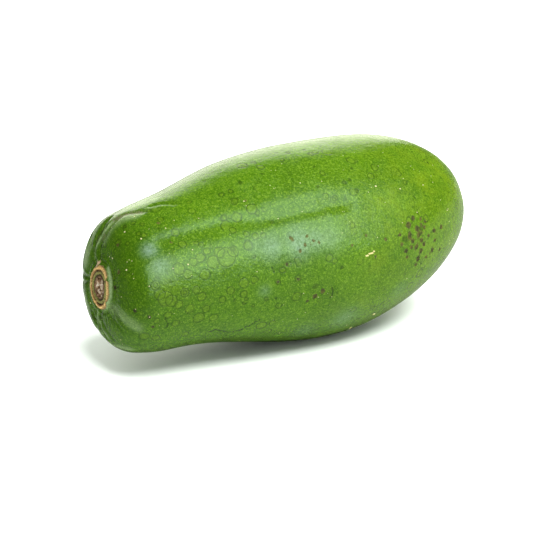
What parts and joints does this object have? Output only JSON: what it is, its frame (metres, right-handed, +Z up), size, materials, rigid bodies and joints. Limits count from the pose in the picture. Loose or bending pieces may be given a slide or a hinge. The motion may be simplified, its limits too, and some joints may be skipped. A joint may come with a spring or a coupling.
{
  "type": "green papaya",
  "caption": "Whole green papaya lying on its side, neck end first, with soft lobes and a corky ring where the stalk broke off.",
  "frame": {"origin": "on the surface that the fruit lies on, under the middle of its box", "axes": "+Z up, +X from the stem end to the blossom end"},
  "size_m": [0.2718, 0.1262, 0.1246],
  "materials": {
    "papaya_skin": "waxy satin"
  },
  "bodies": {
    "root": {"papaya_fruit": "papaya_skin"}
  },
  "joints": []
}
